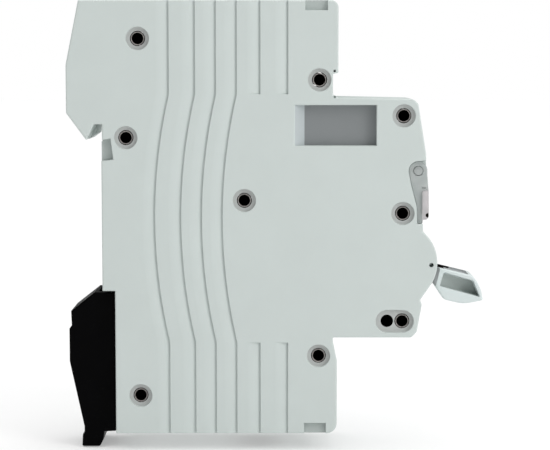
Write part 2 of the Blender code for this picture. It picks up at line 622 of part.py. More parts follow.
        z0, z1 = zz(29.4, 38.7)
        cage = make(f"{end}_terminal_cage", lambda bm: block(bm, -6.0, 6.0, -36.5, -25.0, z0, z1), steel,
                    at=(0, -30.0, tz))
        boolean(cage, helper(f"{end}_cage_inside", lambda bm: block(bm, -4.8, 4.8, -35.3, -26.2, z0 - 2, z1 + 2)))
        boolean(cage, helper(f"{end}_cage_thread", lambda bm: rod(bm, (0.0, tz), 2.3, -38.0, -34.0, "Y", 20)))
        screw = make(f"{end}_terminal_screw", lambda bm: turned(bm, [(0, -43.6), (2.6, -43.6), (2.9, -43.3), (2.9, -41.8),
                                                                     (2.0, -41.8), (2.0, -34.3), (1.6, -33.8),
                                                                     (0, -33.8)], (0.0, tz), "Y", 24),
                     steel, at=(0, -42.0, tz), smooth=True)
        boolean(screw, helper(f"{end}_screw_slot", lambda bm: block(bm, -3.5, 3.5, -45.0, -42.6, tz - 0.4, tz + 0.4)))
        p0, p1 = zz(27.2 if s > 0 else 21.5, 38.9)
        plate = make(f"{end}_terminal_plate", lambda bm: block(bm, -4.4, 4.4, -33.5, -32.5, p0, p1), copper)
        if s < 0:
            boolean(plate, helper("strap_thread", lambda bm: rod(bm, (0.0, -24.0), 0.95, -35.0, -31.0, "Y", 16)))

    # ---- rail clip with its guide tongue, and the spring that closes it
    clip_outline = [(-2.07, -14.3), (-0.15, -14.3), (-0.15, -17.9), (1.2, -17.9), (1.2, -14.5), (1.45, -14.32),
                    (6.24, -18.02), (6.24, -20.65), (6.70, -21.26), (6.70, -27.57), (3.99, -40.22), (3.99, -41.4),
                    (4.33, -41.75), (4.45, -44.05), (1.02, -44.05), (0.41, -42.85), (0.16, -41.2), (-2.07, -41.1)]
    clip = make("din_clip", lambda bm: prism(bm, clip_outline, -5.7, 5.7), black)
    boolean(clip, helper("clip_neck", lambda bm: block(bm, -1.6, 1.6, -4.6, -1.6, -21.0, -18.2)), "UNION")
    boolean(clip, helper("clip_tongue", lambda bm: block(bm, -3.2, 3.2, -6.5, -4.1, -21.5, -17.7)), "UNION")
    make("clip_spring", lambda bm: wire(bm, helix((0.0, -5.3), 1.1, -30.35, -21.95, 6.5, 10), 0.22, 5), spring_steel,
         smooth=True)

    # ---- hinged label cover and the card behind it
    cover = make("label_cover", lambda bm: prism(bm, cover_cheek(), -8.7, 8.7), clear, at=(0.0, *COVER_P))
    # the leaf ends below its hinge, so its upper edge stays clear of the case and the card as it swings up
    boolean(cover, helper("label_cover_inside", lambda bm: prism(bm, [(-62.5, 13.0), (-62.5, 8.7), (-60.75, 8.7),
                                                                      (-60.75, -3.0), (-55.0, -3.0), (-55.0, 13.0)],
                                                                 -7.6, 7.6)))
    boolean(cover, helper("label_cover_holes", lambda bm: rod(bm, COVER_P, 0.95, -10, 10, n=16)))
    make("label_card", lambda bm: block(bm, -6.9, 6.9, -60.45, -60.15, 0.4, 8.5), card)


build()
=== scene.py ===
import math

import bmesh
import bpy
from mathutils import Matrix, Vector


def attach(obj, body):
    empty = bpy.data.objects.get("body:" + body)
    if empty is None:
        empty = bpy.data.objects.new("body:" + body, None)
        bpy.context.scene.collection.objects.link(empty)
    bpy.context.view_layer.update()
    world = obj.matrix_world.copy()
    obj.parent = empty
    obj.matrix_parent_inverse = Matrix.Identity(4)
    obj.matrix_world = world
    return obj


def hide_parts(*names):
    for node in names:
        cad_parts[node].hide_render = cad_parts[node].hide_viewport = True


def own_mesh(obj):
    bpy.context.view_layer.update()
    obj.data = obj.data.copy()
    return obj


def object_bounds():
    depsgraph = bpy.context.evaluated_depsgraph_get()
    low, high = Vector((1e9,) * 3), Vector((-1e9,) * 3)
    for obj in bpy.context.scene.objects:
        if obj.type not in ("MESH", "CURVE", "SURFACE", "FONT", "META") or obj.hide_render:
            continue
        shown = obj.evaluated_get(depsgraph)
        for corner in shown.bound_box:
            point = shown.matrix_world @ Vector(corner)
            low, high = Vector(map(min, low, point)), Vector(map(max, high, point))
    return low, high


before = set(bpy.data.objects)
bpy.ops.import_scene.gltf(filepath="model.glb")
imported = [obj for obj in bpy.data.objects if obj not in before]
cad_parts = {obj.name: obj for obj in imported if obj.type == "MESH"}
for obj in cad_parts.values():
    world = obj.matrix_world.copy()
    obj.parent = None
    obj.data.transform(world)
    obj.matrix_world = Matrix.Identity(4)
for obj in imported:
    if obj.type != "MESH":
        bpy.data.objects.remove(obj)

CAD_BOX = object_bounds()
MM = 0.001

# ------------------------------------------------------------------ dimensions shared with the part (mm)
HALF = 8.85
WALL = 1.4
PART = -2.3
PART_GAP = 0.1
TOP = 40.9
NOSE = 22.5
SHOULDER = -44.4
FIT = 0.2
RUN = 0.3
PIVOT = (-55.5, -8.33)
BOSS_R = 7.69
DRUM_R = 7.0
LINK_D = (PIVOT[0] - 1.5, PIVOT[1] + 2.9)
ARM_P = (-38.0, 1.2)
TRIP_P = (-41.5, 8.5)
COVER_P = (-59.5, 9.06)
RIVETS = [(-6.9, 33.8), (-4.6, 15.3), (-26.8, 3.5), (-40.9, 26.1), (-56.7, 19.4),
          (-56.6, 1.06), (-56.6, -19.4), (-40.8, -26.0), (-7.1, -33.6)]
RIVET_NAMES = ["rivet_top_rear", "rivet_rail_hook", "rivet_centre", "rivet_top_shoulder", "rivet_nose_top",
               "rivet_nose_middle", "rivet_nose_bottom", "rivet_bottom_shoulder", "rivet_bottom_rear"]
RIVET_R = 1.2
RIVET_BORE = 1.04
SPARE_HOLE = (-53.75, -19.4)
SPARE_R = 1.19
COUNTERBORE_R = 2.17
COUNTERBORE_D = 0.9
GROOVES = [(-12.7, 2.6, True), (-17.6, 2.6, True), (-21.5, 2.6, True), (-25.4, 2.6, True),
           (-29.8, 2.6, False), (-35.0, 2.6, False)]
GROOVE_DEPTH = 0.52
GROOVE_KINK = 23.35
GROOVE_SAG = 2.7
TERMINAL_Z = 34.0


# ------------------------------------------------------------------ outlines
def circle(centre, r, n=24, start=0.0):
    return [(centre[0] + r * math.cos(start + 2 * math.pi * i / n),
             centre[1] + r * math.sin(start + 2 * math.pi * i / n)) for i in range(n)]


def arc(centre, r, first, last, n):
    return [(centre[0] + r * math.cos(math.radians(first + (last - first) * k / n)),
             centre[1] + r * math.sin(math.radians(first + (last - first) * k / n))) for k in range(n + 1)]


def stadium(c0, c1, r, n=12):
    ang = math.atan2(c1[1] - c0[1], c1[0] - c0[0])
    out = []
    for centre, first in ((c1, ang - math.pi / 2), (c0, ang + math.pi / 2)):
        for k in range(n + 1):
            t = first + math.pi * k / n
            out.append((centre[0] + r * math.cos(t), centre[1] + r * math.sin(t)))
    return out


def area(outline):
    return sum(a[0] * b[1] - b[0] * a[1] for a, b in zip(outline, outline[1:] + outline[:1])) / 2


def inset(outline, d):
    """Each side of a closed outline moved inwards by d (outwards when negative), with mitred corners."""
    if abs(d) < 1e-9:
        return [tuple(p) for p in outline]
    sign = 1 if area(outline) > 0 else -1
    n = len(outline)
    out = []
    for i in range(n):
        p = Vector(outline[i])
        a = (p - Vector(outline[i - 1])).normalized()
        b = (Vector(outline[(i + 1) % n]) - p).normalized()
        na = Vector((-a.y, a.x)) * sign
        nb = Vector((-b.y, b.x)) * sign
        m = na + nb
        if m.length < 1e-6:
            m = na
        m.normalize()
        c = max(0.35, m.dot(na))
        out.append(tuple(p + m * (d / c)))
    return out


class Shape:
    """Outline whose real corners are rounded; a point may carry its own radius. at(d) is the outline moved inwards
    by d, with as many points as before."""

    def __init__(self, points, radius=0.3, steps=3, least=14.0):
        self.points = [tuple(p[:2]) for p in points]
        self.sign = 1 if area(self.points) > 0 else -1
        n = len(points)
        self.corners = []
        for i in range(n):
            p = Vector(self.points[i])
            a = p - Vector(self.points[i - 1])
            b = Vector(self.points[(i + 1) % n]) - p
            turn = a.angle_signed(b)          # clockwise is positive
            r = points[i][2] if len(points[i]) > 2 else radius
            if r <= 0 or abs(math.degrees(turn)) < least:
                self.corners.append(None)
                continue
            convex = (-turn * self.sign) > 0
            count = max(2, round(steps * max(1.0, abs(math.degrees(turn)) / 60)))
            self.corners.append((r, convex, count))

    def at(self, d=0.0):
        pts = inset(self.points, d)
        n = len(pts)
        out = []
        for i in range(n):
            p = Vector(pts[i])
            corner = self.corners[i]
            if corner is None:
                out.append(tuple(p))
                continue
            r, convex, count = corner
            r = max(0.02, r - d if convex else r + d)
            a = Vector(pts[i - 1]) - p
            b = Vector(pts[(i + 1) % n]) - p
            short = min(a.length, b.length)
            half = a.angle(b) / 2
            r = min(r, 0.42 * short * math.tan(half))
            a.normalize()
            b.normalize()
            back = r / math.tan(half)
            middle = p + (a + b).normalized() * (r / math.sin(half))
            start = (p + a * back) - middle
            end = (p + b * back) - middle
            turn = start.angle_signed(end)
            for k in range(count + 1):
                t = -turn * k / count
                out.append((middle.x + start.x * math.cos(t) - start.y * math.sin(t),
                            middle.y + start.x * math.sin(t) + start.y * math.cos(t)))
        return out


def eased(points, radius=0.3, steps=3, least=14.0):
    return Shape(points, radius, steps, least)


def ring_of(outline, d=0.0):
    return outline.at(d) if isinstance(outline, Shape) else inset(outline, d)


# ------------------------------------------------------------------ solids (mm)
def place(u, v, w, axis):
    if axis == "X":
        return Vector((w, u, v))
    if axis == "Y":
        return Vector((u, w, v))
    return Vector((u, v, w))


def loft(bm, rings):
    """Closed solid through rings of equally many points."""
    rings = [[bm.verts.new(p) for p in ring] for ring in rings]
    n = len(rings[0])
    for a, b in zip(rings, rings[1:]):
        for i in range(n):
            j = (i + 1) % n
            bm.faces.new([a[i], b[i], b[j], a[j]])
    bm.faces.new(rings[0])
    bm.faces.new(list(reversed(rings[-1])))


def prism(bm, outline, low, high, axis="X"):
    loft(bm, [[place(u, v, w, axis) for u, v in ring_of(outline)] for w in (low, high)])


def soft_prism(bm, outline, low, high, axis="X", edges=(0.25, 0.25), steps=3):
    """Prism whose two end faces run into its sides over a rounded edge."""
    levels = []
    e = edges[0]
    if e > 0:
        levels += [(low + e * (1 - math.sin(t)), e * (1 - math.cos(t)))
                   for t in [math.pi / 2 * (1 - k / steps) for k in range(steps + 1)]]
    else:
        levels.append((low, 0.0))
    e = edges[1]
    if e > 0:
        levels += [(high - e * (1 - math.sin(t)), e * (1 - math.cos(t)))
                   for t in [math.pi / 2 * k / steps for k in range(steps + 1)]]
    else:
        levels.append((high, 0.0))
    loft(bm, [[place(u, v, w, axis) for u, v in ring_of(outline, d)] for w, d in levels])


def flared(bm, outline, deep, face, lip=0.12, axis="X", over=1.0, steps=3, floor_edge=0.0):
    """Cutter for a pocket from a face down to deep, whose mouth is rounded over."""
    way = 1 if face > deep else -1
    levels = []
    if floor_edge > 0:
        levels += [(deep + way * floor_edge * (1 - math.cos(t)), floor_edge * (1 - math.sin(t)))
                   for t in [math.pi / 2 * k / steps for k in range(steps + 1)]]
    else:
        levels.append((deep, 0.0))
    for k in range(steps + 1):
        t = math.radians(86) * k / steps
        levels.append((face - way * lip * (1 - math.sin(t)), -lip * (1 - math.cos(t))))
    levels.append((face + way * over, -lip * 1.05))
    loft(bm, [[place(u, v, w, axis) for u, v in ring_of(outline, d)] for w, d in levels])


def block(bm, x0, x1, y0, y1, z0, z1):
    prism(bm, [(y0, z0), (y1, z0), (y1, z1), (y0, z1)], x0, x1, "X")


def rod(bm, centre, r, low, high, axis="X", n=32):
    prism(bm, circle(centre, r, n), low, high, axis)


def turned(bm, profile, centre, axis="X", n=48, closed=False):
    """Turns (radius, along) points round an axis. An open profile starts and ends on the axis."""
    rings = []
    for r, w in profile:
        if r <= 1e-9:
            rings.append([bm.verts.new(place(centre[0], centre[1], w, axis))])
        else:
            rings.append([bm.verts.new(place(centre[0] + r * math.cos(2 * math.pi * i / n),
                                             centre[1] + r * math.sin(2 * math.pi * i / n), w, axis))
                          for i in range(n)])
    pairs = list(zip(rings, rings[1:]))
    if closed:
        pairs.append((rings[-1], rings[0]))
    for a, b in pairs:
        for i in range(n):
            j = (i + 1) % n
            if len(a) == 1 and len(b) == 1:
                continue
            if len(a) == 1:
                bm.faces.new([a[0], b[j], b[i]])
            elif len(b) == 1:
                bm.faces.new([a[i], a[j], b[0]])
            else:
                bm.faces.new([a[i], a[j], b[j], b[i]])


def make(name, build, mat=None):
    """A named object at the origin from a function that fills a bmesh in mm."""
    bm = bmesh.new()
    build(bm)
    bmesh.ops.recalc_face_normals(bm, faces=bm.faces)
    bmesh.ops.scale(bm, verts=bm.verts, vec=(MM, MM, MM))
    mesh = bpy.data.meshes.new(name)
    bm.to_mesh(mesh)
    bm.free()
    obj = bpy.data.objects.new(name, mesh)
    bpy.context.scene.collection.objects.link(obj)
    if mat:
        mesh.materials.append(mat)
    return obj


CUTTERS = []


def boolean(obj, build, operation="DIFFERENCE", mat=None):
    """Cuts or joins a shape. With a finish, what the shape leaves behind gets it."""
    other = make("cutter_%03d" % len(CUTTERS), build, mat)
    CUTTERS.append(other)
    mod = obj.modifiers.new("shape", "BOOLEAN")
    if mat:
        mod.material_mode = "TRANSFER"
    mod.object = other
    mod.operation = operation
    mod.solver = "EXACT"


def settle(obj, angle=36.0, bevel=0.0):
    """Applies what shapes the object, drops its cutters and gives it clean shading."""
    if bevel > 0:
        mod = obj.modifiers.new("edge", "BEVEL")
        mod.width = bevel * MM
        mod.segments = 2
        mod.limit_method = "ANGLE"
        mod.angle_limit = math.radians(32)
        mod.harden_normals = False
    dg = bpy.context.evaluated_depsgraph_get()
    mesh = bpy.data.meshes.new_from_object(obj.evaluated_get(dg), preserve_all_data_layers=True, depsgraph=dg)
    obj.modifiers.clear()
    obj.data = mesh
    for c in CUTTERS:
        bpy.data.objects.remove(c, do_unlink=True)
    CUTTERS.clear()
    bm = bmesh.new()
    bm.from_mesh(mesh)
    bmesh.ops.remove_doubles(bm, verts=bm.verts, dist=0.000002)
    bmesh.ops.dissolve_degenerate(bm, edges=bm.edges, dist=0.000002)
    bm.to_mesh(mesh)
    bm.free()
    mesh.shade_smooth()
    mesh.set_sharp_from_angle(angle=math.radians(angle))
    mod = obj.modifiers.new("shading", "WEIGHTED_NORMAL")
    mod.keep_sharp = True
    mod.weight = 100
    dg = bpy.context.evaluated_depsgraph_get()
    mesh = bpy.data.meshes.new_from_object(obj.evaluated_get(dg), preserve_all_data_layers=True, depsgraph=dg)
    obj.modifiers.clear()
    obj.data = mesh
    return obj


def inside(obj, centre, radius, depth, mat):
    """Gives the faces down a hole along X, nearer its axis than radius, their own finish."""
    obj.data.materials.append(mat)
    index = len(obj.data.materials) - 1
    for face in obj.data.polygons:
        c = face.center / MM
        if abs(c.x) < depth and math.hypot(c.y - centre[0], c.z - centre[1]) < radius:
            face.material_index = index


def finish(obj, mat):
    obj.data.materials.append(mat)
    return len(obj.data.materials) - 1


def darken(obj, centre, radius, depth, index):
    """Gives the faces down a hole along X a finish the object already has."""
    for face in obj.data.polygons:
        points = [obj.data.vertices[i].co / MM for i in face.vertices]
        if all(abs(p.x) < depth and math.hypot(p.y - centre[0], p.z - centre[1]) < radius for p in points):
            face.material_index = index


def done(obj, body, slot, *nodes):
    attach(obj, body)
    if nodes:
        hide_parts(*nodes)
    return obj


# ------------------------------------------------------------------ materials
class Look:
    """A Principled material with its pattern nodes, in millimetres of the object."""

    def __init__(self, name):
        self.mat = bpy.data.materials.new(name)
        self.mat.use_nodes = True
        self.tree = self.mat.node_tree
        self.shader = self.tree.nodes["Principled BSDF"]
        where = self.node("ShaderNodeTexCoord")
        mapping = self.node("ShaderNodeMapping")
        mapping.inputs["Scale"].default_value = (1000.0, 1000.0, 1000.0)
        self.link(where.outputs["Object"], mapping.inputs["Vector"])
        self.place = mapping.outputs["Vector"]

    def node(self, kind, **settings):
        n = self.tree.nodes.new(kind)
        for key, value in settings.items():
            setattr(n, key, value)
        return n

    def link(self, a, b):
        self.tree.links.new(a, b)

    def stretched(self, scale):
        m = self.node("ShaderNodeMapping")
        m.inputs["Scale"].default_value = scale
        self.link(self.place, m.inputs["Vector"])
        return m.outputs["Vector"]

    def noise(self, scale, detail=3.0, rough=0.55, at=None, distortion=0.0):
        n = self.node("ShaderNodeTexNoise")
        n.inputs["Scale"].default_value = scale
        n.inputs["Detail"].default_value = detail
        n.inputs["Roughness"].default_value = rough
        n.inputs["Distortion"].default_value = distortion
        self.link(at or self.place, n.inputs["Vector"])
        return n.outputs["Fac"]

    def ranged(self, value, low, high, a, b, smooth=False):
        n = self.node("ShaderNodeMapRange")
        if smooth:
            n.interpolation_type = "SMOOTHSTEP"
        n.inputs["From Min"].default_value = low
        n.inputs["From Max"].default_value = high
        n.inputs["To Min"].default_value = a
        n.inputs["To Max"].default_value = b
        self.link(value, n.inputs["Value"])
        return n.outputs["Result"]

    def mix(self, factor, a, b, blend="MIX"):
        n = self.node("ShaderNodeMix", data_type="RGBA", blend_type=blend)
        for value, socket in ((factor, n.inputs["Factor"]), (a, n.inputs["A"]), (b, n.inputs["B"])):
            if hasattr(value, "is_output"):
                self.link(value, socket)
            elif isinstance(value, tuple):
                socket.default_value = (*value[:3], 1.0)
            else:
                socket.default_value = value
        return n.outputs["Result"]

    def edge(self, radius):
        """Rounded normal, and how near the point lies to an edge."""
        b = self.node("ShaderNodeBevel")
        b.samples = 4
        b.inputs["Radius"].default_value = radius * MM
        g = self.node("ShaderNodeNewGeometry")
        d = self.node("ShaderNodeVectorMath", operation="DOT_PRODUCT")
        self.link(b.outputs["Normal"], d.inputs[0])
        self.link(g.outputs["Normal"], d.inputs[1])
        return b.outputs["Normal"], self.ranged(d.outputs["Value"], 0.99, 0.75, 0.0, 1.0)

    def bump(self, height, distance, strength=1.0, normal=None):
        n = self.node("ShaderNodeBump")
        n.inputs["Distance"].default_value = distance * MM
        n.inputs["Strength"].default_value = strength
        self.link(height, n.inputs["Height"])
        if normal:
            self.link(normal, n.inputs["Normal"])
        return n.outputs["Normal"]

    def set(self, **values):
        for key, value in values.items():
            socket = self.shader.inputs[key.replace("_", " ")]
            if hasattr(value, "is_output"):
                self.link(value, socket)
            elif isinstance(value, tuple):
                socket.default_value = (*value[:3], 1.0) if len(socket.default_value) == 4 else value
            else:
                socket.default_value = value
        return self.mat


def shade(rgb, k):
    return tuple(min(1.0, c * k) for c in rgb)


def plastic(name, rgb, rough, vary=0.03, grain=0.006, radius=0.12, edge_highlight=1.06, gloss=0.45, mottle=0.12):
    look = Look(name)
    broad = look.noise(mottle, 4.0, 0.6)
    fine = look.noise(2.2, 3.0, 0.6)
    colour = look.mix(look.ranged(broad, 0.35, 0.65, 0.0, 1.0), shade(rgb, 1 - vary), shade(rgb, 1 + vary))
    colour = look.mix(look.ranged(fine, 0.3, 0.7, 0.0, 0.35), colour, shade(rgb, 1 - 1.6 * vary))
    # painted highlight: along rounded edges the colour is lifted to a lighter tone
    normal, highlight_rim = look.edge(radius)
    highlighted_edge_colour = look.mix(1.0, colour, (edge_highlight, edge_highlight, edge_highlight), "MULTIPLY")
    colour = look.mix(highlight_rim, colour, highlighted_edge_colour)
    height = look.mix(0.5, look.noise(7.5, 2.0, 0.5), look.noise(2.8, 2.0, 0.5))
    bumped = look.bump(height, grain, 0.8, normal)
    roughness = look.ranged(look.noise(0.35, 4.0, 0.6), 0.3, 0.7, rough - 0.05, rough + 0.06)
    return look.set(Base_Color=colour, Roughness=roughness, Normal=bumped, Specular_IOR_Level=gloss)


def metal(name, rgb, rough, vary=0.06, streak=(1.0, 1.0, 1.0), grain=0.004, tint=None, radius=0.08):
    look = Look(name)
    along = look.stretched(streak)
    broad = look.noise(0.5, 4.0, 0.6)
    lines = look.noise(5.0, 3.0, 0.6, at=along)
    colour = look.mix(look.ranged(broad, 0.3, 0.7, 0.0, 1.0), shade(rgb, 1 - vary), shade(rgb, 1 + vary))
    if tint:
        spots = look.ranged(look.noise(1.1, 5.0, 0.65), 0.52, 0.72, 0.0, 0.55, True)
        colour = look.mix(spots, colour, tint)
    colour = look.mix(look.ranged(lines, 0.35, 0.65, 0.0, 0.25), colour, shade(rgb, 0.8))
    # painted highlight: along rounded edges the colour is lifted to a lighter tone
    normal, highlight_rim = look.edge(radius)
    colour = look.mix(highlight_rim, colour, shade(rgb, 1.15))
    bumped = look.bump(lines, grain, 0.7, normal)
    roughness = look.ranged(lines, 0.3, 0.7, rough - 0.07, rough + 0.08)
    return look.set(Base_Color=colour, Metallic=1.0, Roughness=roughness, Normal=bumped)


BODY_RGB = (0.575, 0.630, 0.612)
body_mat = plastic("moulded_body", BODY_RGB, 0.5, vary=0.012, grain=0.005, radius=0.10, edge_highlight=1.05, gloss=0.35)
toggle_mat = plastic("moulded_toggle", (0.65, 0.715, 0.71), 0.44, vary=0.012, grain=0.003, radius=0.15, edge_highlight=1.06,
                     gloss=0.42)
black_mat = plastic("moulded_black", (0.0012, 0.0012, 0.0014), 0.36, vary=0.2, grain=0.008, radius=0.2, edge_highlight=2.0,
                    gloss=0.03)
# painted shade: a darker copy of the body grey for the counterbore floors round the rivets
counterbore_shade_mat = plastic("counterbore_painted_shade", (0.50, 0.515, 0.505), 0.55, vary=0.02, grain=0.006, radius=0.08, edge_highlight=1.03, gloss=0.3)
# painted shade: a darker, bluer copy of the body grey for the window's sloping rear ramp
ramp_shade_mat = plastic("ramp_painted_shade", (0.49, 0.535, 0.545), 0.55, vary=0.02, grain=0.006, radius=0.08, edge_highlight=1.03,
                   gloss=0.3)
# painted shade: a darker copy of the body grey for recess floors
recess_shade_mat = plastic("recess_painted_shade", (0.44, 0.485, 0.47), 0.6, vary=0.02, grain=0.008, radius=0.08, edge_highlight=1.03,
                     gloss=0.25)
# painted shade: a dark grey for the handle's top channel and the sides of its root
root_shade_mat = plastic("handle_painted_shade", (0.36, 0.38, 0.385), 0.55, vary=0.03, grain=0.008, radius=0.10, edge_highlight=1.05, gloss=0.3)
carrier_mat = plastic("moulded_carrier", (0.05, 0.04, 0.035), 0.5, vary=0.1, grain=0.01, radius=0.15, edge_highlight=1.3)
window_mat = plastic("window_insert", (0.235, 0.25, 0.255), 0.55, vary=0.02, grain=0.004, radius=0.12, edge_highlight=1.08,
                     gloss=0.3)
# painted highlight and painted shade: the rivet metal in a light copy for the top of the rolled lip and a dark brown
# copy for the band below it
lip_highlight_mat = metal("rivet_rim_painted_highlight", (0.60, 0.56, 0.54), 0.42, vary=0.06, streak=(0.15, 1.0, 1.0))
rivet_shade_mat = metal("nickel_rivet_painted_shade", (0.36, 0.31, 0.29), 0.38, vary=0.1, streak=(0.15, 1.0, 1.0), tint=(0.2, 0.15, 0.13))
steel_mat = metal("zinc_plated_steel", (0.62, 0.62, 0.60), 0.36, vary=0.07, streak=(1.0, 0.2, 1.0),
                  tint=(0.52, 0.53, 0.50))
spring_mat = metal("drawn_spring_wire", (0.42, 0.42, 0.43), 0.28, vary=0.05, streak=(1.0, 1.0, 0.3))
copper_mat = metal("bright_copper", (0.80, 0.42, 0.27), 0.3, vary=0.06, streak=(1.0, 1.0, 0.2), tint=(0.46, 0.21, 0.12))
silver_mat = metal("silver_contact_face", (0.82, 0.81, 0.78), 0.3, vary=0.05, tint=(0.55, 0.53, 0.48))
bimetal_mat = metal("rolled_bimetal", (0.62, 0.59, 0.54), 0.38, vary=0.06, streak=(1.0, 1.0, 0.08),
                    tint=(0.50, 0.44, 0.36))


def fibre():
    look = Look("pressed_fibre_board")
    threads = look.noise(1.2, 5.0, 0.7, at=look.stretched((1.0, 0.25, 1.6)))
    cross = look.noise(1.0, 5.0, 0.7, at=look.stretched((1.0, 1.8, 0.3)))
    colour = look.mix(look.ranged(threads, 0.35, 0.65, 0.0, 1.0), (0.42, 0.29, 0.17), (0.62, 0.47, 0.31))
    colour = look.mix(look.ranged(cross, 0.5, 0.75, 0.0, 0.6), colour, (0.33, 0.22, 0.13))
    normal, _ = look.edge(0.12)
    return look.set(Base_Color=colour, Roughness=look.ranged(threads, 0.3, 0.7, 0.7, 0.9),
                    Normal=look.bump(threads, 0.02, 0.8, normal), Specular_IOR_Level=0.3)


def paper():
    look = Look("label_paper")
    pulp = look.noise(1.6, 6.0, 0.7)
    colour = look.mix(look.ranged(pulp, 0.35, 0.65, 0.0, 1.0), (0.78, 0.78, 0.74), (0.88, 0.88, 0.85))
    return look.set(Base_Color=colour, Roughness=look.ranged(pulp, 0.3, 0.7, 0.75, 0.9),
                    Normal=look.bump(pulp, 0.006, 0.8), Specular_IOR_Level=0.2)


def clear(name, low, high):
    look = Look(name)
    flow = look.noise(0.25, 3.0, 0.5, at=look.stretched((0.4, 1.0, 1.4)))
    scuff = look.noise(2.5, 4.0, 0.7)
    # painted highlight: along rounded edges the colour is lifted to a lighter tone
    normal, highlight_rim = look.edge(0.12)
    colour = look.mix(look.ranged(flow, 0.35, 0.65, 0.0, 1.0), low, high)
    colour = look.mix(highlight_rim, colour, shade(high, 1.1))
    return look.set(Base_Color=colour, Roughness=look.ranged(scuff, 0.3, 0.7, 0.12, 0.24), Transmission_Weight=0.42,
                    IOR=1.49, Normal=look.bump(flow, 0.02, 0.5, normal), Specular_IOR_Level=0.5)


def braid():
    look = Look("copper_braid")
    a = look.node("ShaderNodeTexWave", wave_type="BANDS", bands_direction="DIAGONAL")
    a.inputs["Scale"].default_value = 1.6
    a.inputs["Distortion"].default_value = 1.5
    look.link(look.place, a.inputs["Vector"])
    b = look.node("ShaderNodeTexWave", wave_type="BANDS", bands_direction="DIAGONAL")
    b.inputs["Scale"].default_value = 1.6
    b.inputs["Distortion"].default_value = 1.5
    look.link(look.stretched((-1.0, 1.0, 1.0)), b.inputs["Vector"])
    weave = look.mix(0.5, a.outputs["Fac"], b.outputs["Fac"])
    colour = look.mix(look.ranged(weave, 0.2, 0.8, 0.0, 1.0), (0.36, 0.15, 0.08), (0.85, 0.47, 0.30))
    return look.set(Base_Color=colour, Metallic=1.0, Roughness=look.ranged(weave, 0.2, 0.8, 0.5, 0.3),
                    Normal=look.bump(weave, 0.12, 0.9))


def enamel():
    look = Look("enamelled_copper_wire")
    flow = look.noise(0.8, 4.0, 0.6)
    colour = look.mix(look.ranged(flow, 0.35, 0.65, 0.0, 1.0), (0.42, 0.15, 0.06), (0.60, 0.25, 0.11))
    return look.set(Base_Color=colour, Metallic=0.75, Roughness=look.ranged(flow, 0.3, 0.7, 0.22, 0.34),
                    Coat_Weight=0.4, Coat_Roughness=0.12, Normal=look.bump(flow, 0.01, 0.6))


def shadowed():
    # painted shadow: a near-black, unreflective finish for the faces down bores, pockets and gaps
    look = Look("painted_shadow_bore")
    shadow_mottle = look.noise(1.5, 3.0, 0.6)
    return look.set(Base_Color=look.mix(look.ranged(shadow_mottle, 0.35, 0.65, 0.0, 1.0), (0.004, 0.003, 0.003),
                                        (0.012, 0.010, 0.009)),
                    Roughness=look.ranged(shadow_mottle, 0.3, 0.7, 0.6, 0.8), Specular_IOR_Level=0.0)


shadow_mat = shadowed()
fibre_mat = fibre()
paper_mat = paper()
clear_mat = clear("clear_cover_arm", (0.57, 0.625, 0.615), (0.66, 0.70, 0.69))
edge_mat = clear("clear_cover_leaf", (0.70, 0.68, 0.69), (0.80, 0.77, 0.78))
braid_mat = braid()
enamel_mat = enamel()

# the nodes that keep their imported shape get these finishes
KEPT = {
    "toggle_pin": steel_mat, "toggle_spring": spring_mat, "toggle_link": steel_mat, "contact_carrier": carrier_mat,
    "moving_contact_arm": copper_mat, "moving_contact_tip": silver_mat, "carrier_pin": steel_mat, "latch": steel_mat,
    "trip_lever": carrier_mat, "trip_lever_pin": steel_mat, "coil_bobbin": carrier_mat, "coil_winding": enamel_mat,
    "magnet_yoke": steel_mat, "fixed_core": steel_mat, "plunger": steel_mat, "plunger_spring": spring_mat,
    "fixed_contact_plate": copper_mat, "fixed_contact_tip": silver_mat, "flexible_braid": braid_mat,
    "bimetal_strip": bimetal_mat, "calibration_screw": steel_mat, "upper_arc_runner": copper_mat,
    "lower_arc_runner": steel_mat, "arc_chute_left_cheek": fibre_mat, "arc_chute_right_cheek": fibre_mat,
    "top_terminal_cage": steel_mat, "bottom_terminal_cage": steel_mat, "top_terminal_plate": copper_mat,
    "bottom_terminal_plate": copper_mat, "clip_spring": spring_mat,
}
for i in range(6):
    KEPT["arc_plate_%d" % (i + 1)] = steel_mat
for node, mat in KEPT.items():
    for obj in [o for o in bpy.data.objects if o.type == "MESH" and o.name == node]:
        if not obj.material_slots:
            obj.data.materials.append(mat)
        for s in obj.material_slots:
            s.material = mat

# the two springs, which shorten as the part they push on comes towards their fixed end; here each is only a copy of its
# imported mesh, fixed to the housing in place of the imported node
for node, joint, fixed_z, keep in (("plunger_spring", "plunger_slide", 12.65, 0.04), ("clip_spring", "clip_slide", -30.57, 0.49)):
    source = bpy.data.objects[node]
    coil = bpy.data.objects.new(node + "_coil", source.data.copy())
    coil.matrix_world = source.matrix_world.copy()
    bpy.context.scene.collection.objects.link(coil)
    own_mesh(coil)
    done(coil, "housing", "spring_steel", node)


